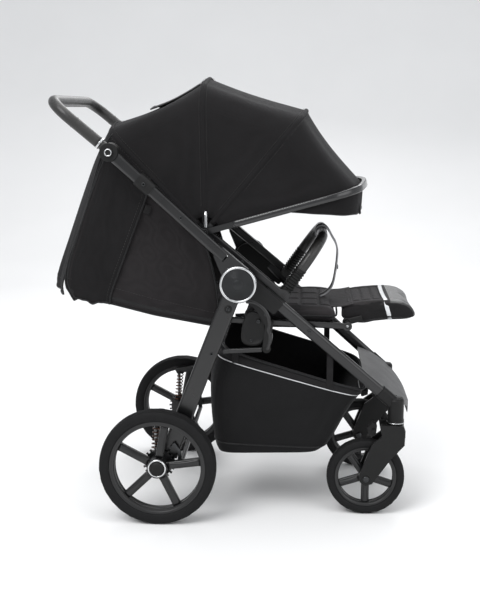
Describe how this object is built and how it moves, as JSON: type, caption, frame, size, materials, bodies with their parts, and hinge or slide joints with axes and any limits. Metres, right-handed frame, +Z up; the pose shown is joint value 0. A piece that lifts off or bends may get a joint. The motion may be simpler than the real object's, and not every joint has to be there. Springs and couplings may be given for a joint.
{
  "type": "baby stroller",
  "caption": "Folding baby stroller with reclining seat, bowed canopy, bumper bar, leg rest, under-seat basket, swivelling front casters and braked rear wheels.",
  "frame": {"origin": "on the floor, at the middle of the stroller's length and width", "axes": "+X the way it rolls forward, +Y to the stroller's left, +Z up"},
  "size_m": [0.9264, 0.59, 1.0825],
  "materials": {
    "frame_satin": "satin dark coating",
    "hub_metal": "brushed dark with a bright rim",
    "moulding": "fine moulded texture",
    "grip_cover": "smooth leatherette, satin gloss",
    "canopy_fabric": "plain woven, matte",
    "side_fabric": "plain woven, matte",
    "seat_fabric": "quilted melange, matte",
    "basket_fabric": "heavy woven, matte",
    "tyre": "matte",
    "rim": "satin moulding",
    "spring": "coppery coil",
    "footplate": "satin moulding",
    "webbing": "woven webbing",
    "bare_metal": "plain turned"
  },
  "bodies": {
    "front_frame": {"front_leg_left": "frame_satin", "front_leg_right": "frame_satin", "fold_hub_left": "moulding", "fold_hub_right": "moulding", "seat_rail_left": "frame_satin", "seat_rail_right": "frame_satin", "caster_housings": "moulding", "footplate": "footplate", "side_brackets": "moulding", "link_bars": "frame_satin", "seat_tubes": "frame_satin", "seat_board": "moulding", "seat_pad": "seat_fabric", "canopy_fixed_bow": "frame_satin", "canopy_rear_panel": "canopy_fabric", "side_wings": "side_fabric", "rear_flap": "canopy_fabric", "crotch_strap": "webbing", "basket": "basket_fabric"},
    "handle": {"handle_tube_left": "frame_satin", "handle_tube_right": "frame_satin", "handle_knuckle_left": "moulding", "handle_knuckle_right": "moulding", "hub_cap_left": "hub_metal", "hub_cap_right": "hub_metal"},
    "fold_trigger": {"fold_triggers": "moulding"},
    "grip": {"handle_grip": "grip_cover"},
    "grip_button_left": {"grip_button_left": "moulding"},
    "grip_button_right": {"grip_button_right": "moulding"},
    "rear_frame": {"rear_leg_left": "frame_satin", "rear_leg_right": "frame_satin", "rear_axle": "bare_metal", "suspension_springs": "spring"},
    "brake": {"brake_pedal": "moulding", "brake_shaft": "bare_metal"},
    "canopy_rear": {"canopy_rear_bow": "frame_satin", "canopy_middle_panel": "canopy_fabric"},
    "canopy_middle": {"canopy_middle_bow": "frame_satin", "canopy_front_panel": "canopy_fabric"},
    "canopy_front": {"canopy_front_bow": "frame_satin"},
    "visor": {"canopy_visor": "canopy_fabric"},
    "backrest": {"backrest_frame": "frame_satin", "backrest_pad": "seat_fabric", "shoulder_straps": "webbing"},
    "recline_lever": {"recline_lever": "moulding"},
    "leg_rest": {"leg_rest": "seat_fabric"},
    "bumper": {"bumper_bar": "grip_cover"},
    "rear_wheel_left": {"rear_rim_left": "rim", "rear_tyre_left": "tyre"},
    "caster_left": {"caster_fork_left": "moulding"},
    "front_wheel_left": {"front_rim_left": "rim", "front_tyre_left": "tyre"},
    "swivel_lock_left": {"swivel_lock_left": "moulding"},
    "rear_wheel_right": {"rear_rim_right": "rim", "rear_tyre_right": "tyre"},
    "caster_right": {"caster_fork_right": "moulding"},
    "front_wheel_right": {"front_rim_right": "rim", "front_tyre_right": "tyre"},
    "swivel_lock_right": {"swivel_lock_right": "moulding"}
  },
  "joints": [
    {"name": "handle_fold", "type": "hinge", "parent": "front_frame", "child": "handle", "pos_m": [0.02388, 0, 0.5988], "axis": [0, 1, 0], "range_deg": [0, 160]},
    {"name": "rear_leg_fold", "type": "hinge", "parent": "front_frame", "child": "rear_frame", "pos_m": [0.02388, 0, 0.5988], "axis": [0, -1, 0], "range_deg": [0, 47.4], "deforming": ["basket"]},
    {"name": "fold_trigger_slide", "type": "slide", "parent": "handle", "child": "fold_trigger", "axis": [-0.741, 0, 0.6715], "range_m": [0, 0.012], "stiffness_N_per_m": 300, "springref_m": -0.001},
    {"name": "grip_tilt", "type": "hinge", "parent": "handle", "child": "grip", "pos_m": [-0.27972, 0, 0.9093], "axis": [0, 1, 0], "range_deg": [-40, 40]},
    {"name": "grip_button_left_press", "type": "slide", "parent": "grip", "child": "grip_button_left", "axis": [0, -1, 0], "range_m": [0, 0.0024], "stiffness_N_per_m": 400},
    {"name": "grip_button_right_press", "type": "slide", "parent": "grip", "child": "grip_button_right", "axis": [0, 1, 0], "range_m": [0, 0.0024], "stiffness_N_per_m": 400},
    {"name": "brake_press", "type": "hinge", "parent": "rear_frame", "child": "brake", "pos_m": [-0.12122, 0, 0.14], "axis": [0, -1, 0], "range_deg": [0, 12]},
    {"name": "canopy_rear_fold", "type": "hinge", "parent": "front_frame", "child": "canopy_rear", "pos_m": [-0.05852, 0, 0.7185], "axis": [0, -1, 0], "range_deg": [0, 37]},
    {"name": "canopy_middle_fold", "type": "hinge", "parent": "canopy_rear", "child": "canopy_middle", "pos_m": [-0.05852, 0, 0.7185], "axis": [0, -1, 0], "range_deg": [0, 36]},
    {"name": "canopy_front_fold", "type": "hinge", "parent": "canopy_middle", "child": "canopy_front", "pos_m": [-0.05852, 0, 0.7185], "axis": [0, -1, 0], "range_deg": [0, 30]},
    {"name": "visor_flip", "type": "hinge", "parent": "canopy_front", "child": "visor", "pos_m": [0.30477, 0, 0.81925], "axis": [0, -1, 0], "range_deg": [0, 45]},
    {"name": "backrest_recline", "type": "hinge", "parent": "front_frame", "child": "backrest", "pos_m": [-0.01322, 0, 0.497], "axis": [0, 1, 0], "range_deg": [0, 60], "deforming": ["side_wings", "rear_flap"]},
    {"name": "recline_lever_pull", "type": "slide", "parent": "backrest", "child": "recline_lever", "axis": [-0.9832, 0, 0.1824], "range_m": [0, 0.012], "stiffness_N_per_m": 200},
    {"name": "leg_rest_tilt", "type": "hinge", "parent": "front_frame", "child": "leg_rest", "pos_m": [0.28878, 0, 0.484], "axis": [0, 1, 0], "range_deg": [0, 55]},
    {"name": "bumper_swing", "type": "hinge", "parent": "front_frame", "child": "bumper", "pos_m": [0.12978, 0, 0.5615], "axis": [0, 1, 0], "range_deg": [0, 40], "deforming": ["crotch_strap"]},
    {"name": "rear_wheel_left_spin", "type": "hinge", "parent": "rear_frame", "child": "rear_wheel_left", "pos_m": [-0.17322, 0.272, 0.145], "axis": [0, 1, 0], "continuous": true},
    {"name": "caster_left_swivel", "type": "hinge", "parent": "front_frame", "child": "caster_left", "pos_m": [0.41278, 0.176, 0.262], "axis": [0, 0, 1], "continuous": true},
    {"name": "front_wheel_left_spin", "type": "hinge", "parent": "caster_left", "child": "front_wheel_left", "pos_m": [0.34078, 0.176, 0.098], "axis": [0, 1, 0], "continuous": true},
    {"name": "swivel_lock_left_flip", "type": "hinge", "parent": "caster_left", "child": "swivel_lock_left", "pos_m": [0.35778, 0.176, 0.222], "axis": [0, -1, 0], "range_deg": [0, 18]},
    {"name": "rear_wheel_right_spin", "type": "hinge", "parent": "rear_frame", "child": "rear_wheel_right", "pos_m": [-0.17322, -0.272, 0.145], "axis": [0, 1, 0], "continuous": true},
    {"name": "caster_right_swivel", "type": "hinge", "parent": "front_frame", "child": "caster_right", "pos_m": [0.41278, -0.176, 0.262], "axis": [0, 0, 1], "continuous": true},
    {"name": "front_wheel_right_spin", "type": "hinge", "parent": "caster_right", "child": "front_wheel_right", "pos_m": [0.34078, -0.176, 0.098], "axis": [0, 1, 0], "continuous": true},
    {"name": "swivel_lock_right_flip", "type": "hinge", "parent": "caster_right", "child": "swivel_lock_right", "pos_m": [0.35778, -0.176, 0.222], "axis": [0, -1, 0], "range_deg": [0, 18]}
  ],
  "couplings": [
    {"joint": "rear_leg_fold", "follows": "handle_fold", "ratio": 0.29313}
  ]
}
